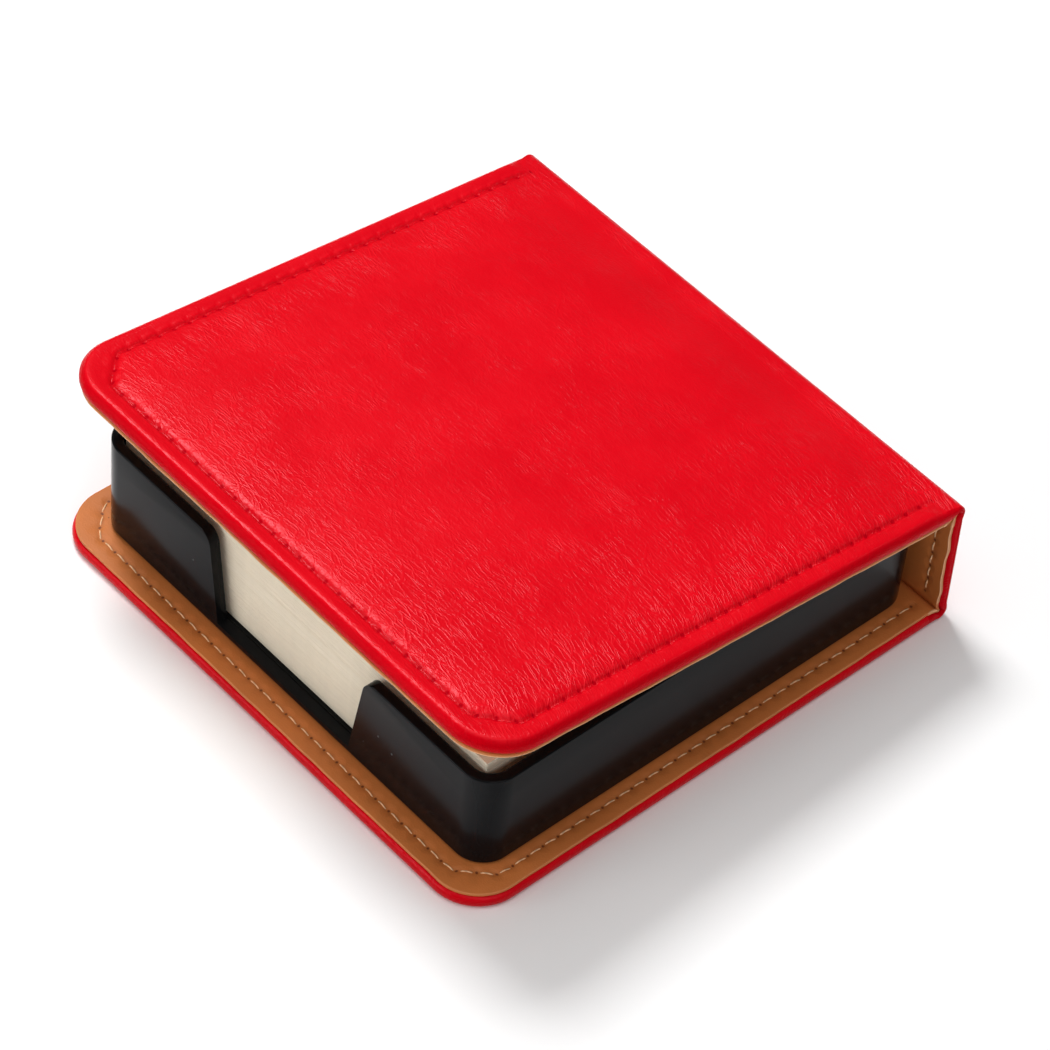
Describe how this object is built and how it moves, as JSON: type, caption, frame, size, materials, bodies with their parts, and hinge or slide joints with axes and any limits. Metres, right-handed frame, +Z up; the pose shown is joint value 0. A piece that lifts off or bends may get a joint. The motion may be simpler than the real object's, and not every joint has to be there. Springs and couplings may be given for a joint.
{
  "type": "leather note holder",
  "caption": "Desk note holder: a padded leather cover with base, spine and lid panels folds over a square plastic tray with a front finger notch and a block of note sheets.",
  "frame": {"origin": "centre of the closed cover's plan, on the desk", "axes": "+Z up; -Y towards the finger notch at the front, +Y towards the spine; X along the creases"},
  "size_m": [0.1076, 0.1071, 0.0394],
  "materials": {
    "cover_leather": "red smooth-grained faux leather, satin",
    "lining": "tan faux leather, satin, raw cut edge",
    "tray_plastic": "black moulded plastic, high gloss",
    "note_paper": null,
    "board": null,
    "padding": "soft white padding inside the lid",
    "adhesive": "double-sided foam adhesive"
  },
  "bodies": {
    "base": {"base_leather": "cover_leather", "base_board": "board", "base_lining": "lining", "tray": "tray_plastic", "tray_adhesive_pad": "adhesive", "note_pile": "note_paper"},
    "spine": {"spine_leather": "cover_leather", "spine_board": "board", "spine_lining": "lining", "lower_crease_leather": "cover_leather", "lower_crease_lining": "lining", "upper_crease_leather": "cover_leather", "upper_crease_lining": "lining"},
    "lid": {"lid_leather": "cover_leather", "lid_padding": "padding", "lid_board": "board", "lid_lining": "lining"}
  },
  "joints": [
    {"name": "spine_hinge", "type": "hinge", "parent": "base", "child": "spine", "pos_m": [0, 0.05316, 0.00045], "axis": [-1, 0, 0], "range_deg": [0, 92], "deforming": ["lower_crease_leather", "lower_crease_lining"]},
    {"name": "lid_hinge", "type": "hinge", "parent": "spine", "child": "lid", "pos_m": [0, 0.05231, 0.02737], "axis": [-1, 0, 0], "range_deg": [0, 81.7], "deforming": ["upper_crease_leather", "upper_crease_lining"]}
  ]
}
